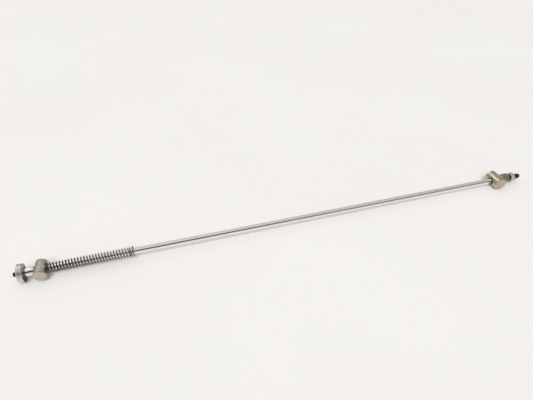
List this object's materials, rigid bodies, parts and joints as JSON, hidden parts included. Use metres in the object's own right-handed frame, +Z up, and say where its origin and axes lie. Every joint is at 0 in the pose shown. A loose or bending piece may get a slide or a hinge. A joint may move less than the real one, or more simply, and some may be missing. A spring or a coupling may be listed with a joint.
{
  "type": "spring-loaded pull rod",
  "caption": "Long round pull rod with a stop collar, a compression spring, a sliding swivel barrel near one end, and a swivel barrel held by hex nuts at the threaded end.",
  "frame": {"origin": "middle of the bounding box, on the rod's axis", "axes": "+X along the rod from the stop collar towards the nuts, +Z up, both barrels lie along Y"},
  "size_m": [0.736, 0.025, 0.024],
  "materials": {
    "polished_rod": "ground and polished bar",
    "collar_plate": "turned and plated",
    "black_screw": "black oxide",
    "bright_sleeve": "bright plated tube",
    "satin_barrel": "satin nickel",
    "washer_steel": "zinc plated",
    "spring_wire": "drawn spring wire",
    "ring_steel": "phosphated spring steel",
    "olive_barrel": "satin turned, warm tint",
    "black_bush": "moulded, matte",
    "grey_nut": "dull grey, oiled",
    "pale_nut": "yellow zinc plated"
  },
  "bodies": {
    "rod": {"pull_rod": "polished_rod", "stop_collar": "collar_plate", "collar_grub_screw": "black_screw", "spacer_sleeve": "bright_sleeve", "compression_spring": "spring_wire", "spring_end_washer": "washer_steel", "retaining_ring": "ring_steel"},
    "spring_seat": {"spring_seat_washer": "washer_steel"},
    "sliding_barrel": {"sliding_barrel": "satin_barrel"},
    "thrust_washer": {"thrust_washer": "washer_steel"},
    "adjusting_nut": {"adjusting_nut": "grey_nut"},
    "bush": {"end_barrel_bush": "black_bush"},
    "end_barrel": {"end_barrel": "olive_barrel"},
    "lock_nut": {"lock_nut": "pale_nut"}
  },
  "joints": [
    {"name": "barrel_travel", "type": "slide", "parent": "rod", "child": "spring_seat", "axis": [1, 0, 0], "range_m": [0, 0.045], "stiffness_N_per_m": 1200, "springref_m": -0.01, "deforming": ["compression_spring"]},
    {"name": "barrel_swivel", "type": "hinge", "parent": "spring_seat", "child": "sliding_barrel", "pos_m": [-0.3368, 0, 0], "axis": [1, 0, 0], "continuous": true},
    {"name": "nut_turn", "type": "hinge", "parent": "thrust_washer", "child": "adjusting_nut", "pos_m": [0.33939, 0, 0], "axis": [1, 0, 0], "range_deg": [-3456, 576]},
    {"name": "nut_travel", "type": "slide", "parent": "rod", "child": "thrust_washer", "axis": [1, 0, 0], "range_m": [-0.012, 0.002]},
    {"name": "end_barrel_slide", "type": "slide", "parent": "thrust_washer", "child": "bush", "axis": [1, 0, 0], "range_m": [-0.52, 0]},
    {"name": "end_barrel_swivel", "type": "hinge", "parent": "bush", "child": "end_barrel", "pos_m": [0.324, 0, 0], "axis": [1, 0, 0], "continuous": true},
    {"name": "lock_nut_travel", "type": "slide", "parent": "thrust_washer", "child": "lock_nut", "axis": [1, 0, 0], "range_m": [-0.0032, 0.006]}
  ],
  "couplings": [
    {"joint": "nut_travel", "follows": "nut_turn", "m_per_rad": 0.00019894}
  ]
}
